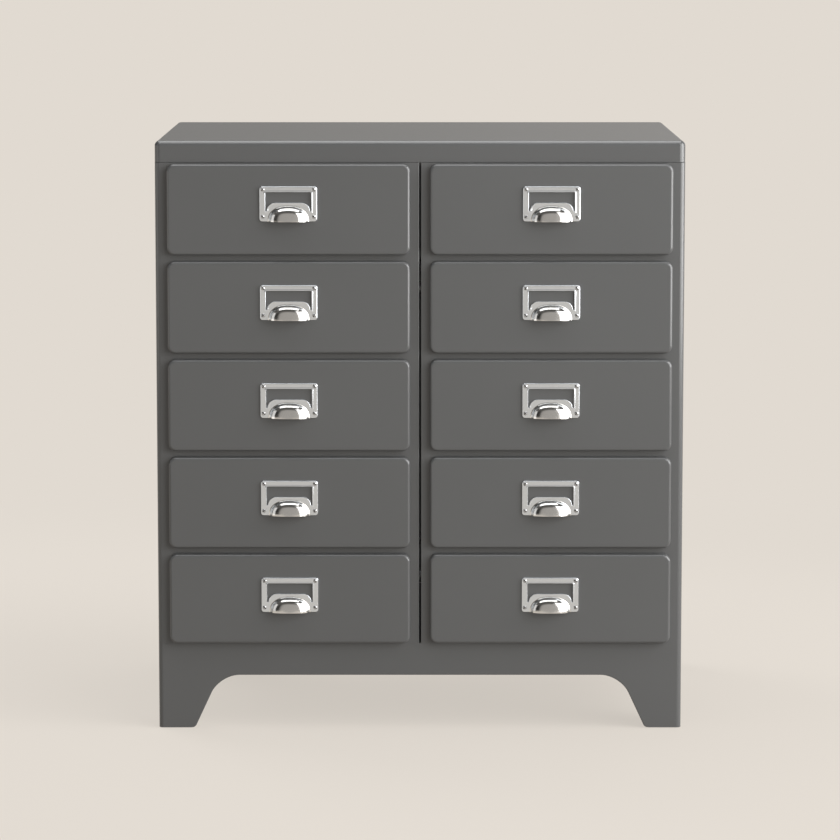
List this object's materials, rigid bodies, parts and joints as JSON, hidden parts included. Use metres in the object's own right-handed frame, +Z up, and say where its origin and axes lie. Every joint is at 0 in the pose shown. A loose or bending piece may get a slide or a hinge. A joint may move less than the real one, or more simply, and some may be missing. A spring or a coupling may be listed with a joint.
{
  "type": "multi-drawer steel cabinet",
  "caption": "Free-standing sheet-steel cabinet with two side-by-side bays of sliding drawers under a rounded lid, label-holder cup pulls and an arched bracket plinth.",
  "frame": {"origin": "on the floor under the middle of the box around the whole cabinet, pulls included", "axes": "+Z up, +X to the right seen from the front, drawers open along -Y"},
  "size_m": [0.61, 0.4441, 0.686],
  "materials": {
    "paint": "satin dark grey powder coat",
    "nickel": "soft-polished nickel plate",
    "zinc": "bright zinc plate",
    "rubber": "matte black",
    "glide_plastic": "matte black nylon"
  },
  "bodies": {
    "carcase": {"top_cap": "paint", "lid_carrier": "paint", "left_side_panel": "paint", "right_side_panel": "paint", "left_front_frame": "paint", "right_front_frame": "paint", "left_divider": "paint", "right_divider": "paint", "back_panel": "paint", "base_pan": "paint", "plinth_skirt": "paint", "plinth_back": "paint", "foot_plates": "paint", "foot_glides": "glide_plastic", "left_bay_runners": "zinc", "right_bay_runners": "zinc", "bay_tie_bolts": "zinc", "back_screws": "zinc", "lid_screws": "zinc", "drawer_buffers": "rubber"},
    "left_drawer_1": {"left_drawer_1_front": "paint", "left_drawer_1_tray": "paint", "left_drawer_1_pull": "nickel", "left_drawer_1_pull_screws": "nickel"},
    "left_drawer_2": {"left_drawer_2_front": "paint", "left_drawer_2_tray": "paint", "left_drawer_2_pull": "nickel", "left_drawer_2_pull_screws": "nickel"},
    "left_drawer_3": {"left_drawer_3_front": "paint", "left_drawer_3_tray": "paint", "left_drawer_3_pull": "nickel", "left_drawer_3_pull_screws": "nickel"},
    "left_drawer_4": {"left_drawer_4_front": "paint", "left_drawer_4_tray": "paint", "left_drawer_4_pull": "nickel", "left_drawer_4_pull_screws": "nickel"},
    "left_drawer_5": {"left_drawer_5_front": "paint", "left_drawer_5_tray": "paint", "left_drawer_5_pull": "nickel", "left_drawer_5_pull_screws": "nickel"},
    "right_drawer_1": {"right_drawer_1_front": "paint", "right_drawer_1_tray": "paint", "right_drawer_1_pull": "nickel", "right_drawer_1_pull_screws": "nickel"},
    "right_drawer_2": {"right_drawer_2_front": "paint", "right_drawer_2_tray": "paint", "right_drawer_2_pull": "nickel", "right_drawer_2_pull_screws": "nickel"},
    "right_drawer_3": {"right_drawer_3_front": "paint", "right_drawer_3_tray": "paint", "right_drawer_3_pull": "nickel", "right_drawer_3_pull_screws": "nickel"},
    "right_drawer_4": {"right_drawer_4_front": "paint", "right_drawer_4_tray": "paint", "right_drawer_4_pull": "nickel", "right_drawer_4_pull_screws": "nickel"},
    "right_drawer_5": {"right_drawer_5_front": "paint", "right_drawer_5_tray": "paint", "right_drawer_5_pull": "nickel", "right_drawer_5_pull_screws": "nickel"}
  },
  "joints": [
    {"name": "left_drawer_1_slide", "type": "slide", "parent": "carcase", "child": "left_drawer_1", "axis": [0, -1, 0], "range_m": [0, 0.31]},
    {"name": "left_drawer_2_slide", "type": "slide", "parent": "carcase", "child": "left_drawer_2", "axis": [0, -1, 0], "range_m": [0, 0.31]},
    {"name": "left_drawer_3_slide", "type": "slide", "parent": "carcase", "child": "left_drawer_3", "axis": [0, -1, 0], "range_m": [0, 0.31]},
    {"name": "left_drawer_4_slide", "type": "slide", "parent": "carcase", "child": "left_drawer_4", "axis": [0, -1, 0], "range_m": [0, 0.31]},
    {"name": "left_drawer_5_slide", "type": "slide", "parent": "carcase", "child": "left_drawer_5", "axis": [0, -1, 0], "range_m": [0, 0.31]},
    {"name": "right_drawer_1_slide", "type": "slide", "parent": "carcase", "child": "right_drawer_1", "axis": [0, -1, 0], "range_m": [0, 0.31]},
    {"name": "right_drawer_2_slide", "type": "slide", "parent": "carcase", "child": "right_drawer_2", "axis": [0, -1, 0], "range_m": [0, 0.31]},
    {"name": "right_drawer_3_slide", "type": "slide", "parent": "carcase", "child": "right_drawer_3", "axis": [0, -1, 0], "range_m": [0, 0.31]},
    {"name": "right_drawer_4_slide", "type": "slide", "parent": "carcase", "child": "right_drawer_4", "axis": [0, -1, 0], "range_m": [0, 0.31]},
    {"name": "right_drawer_5_slide", "type": "slide", "parent": "carcase", "child": "right_drawer_5", "axis": [0, -1, 0], "range_m": [0, 0.31]}
  ]
}
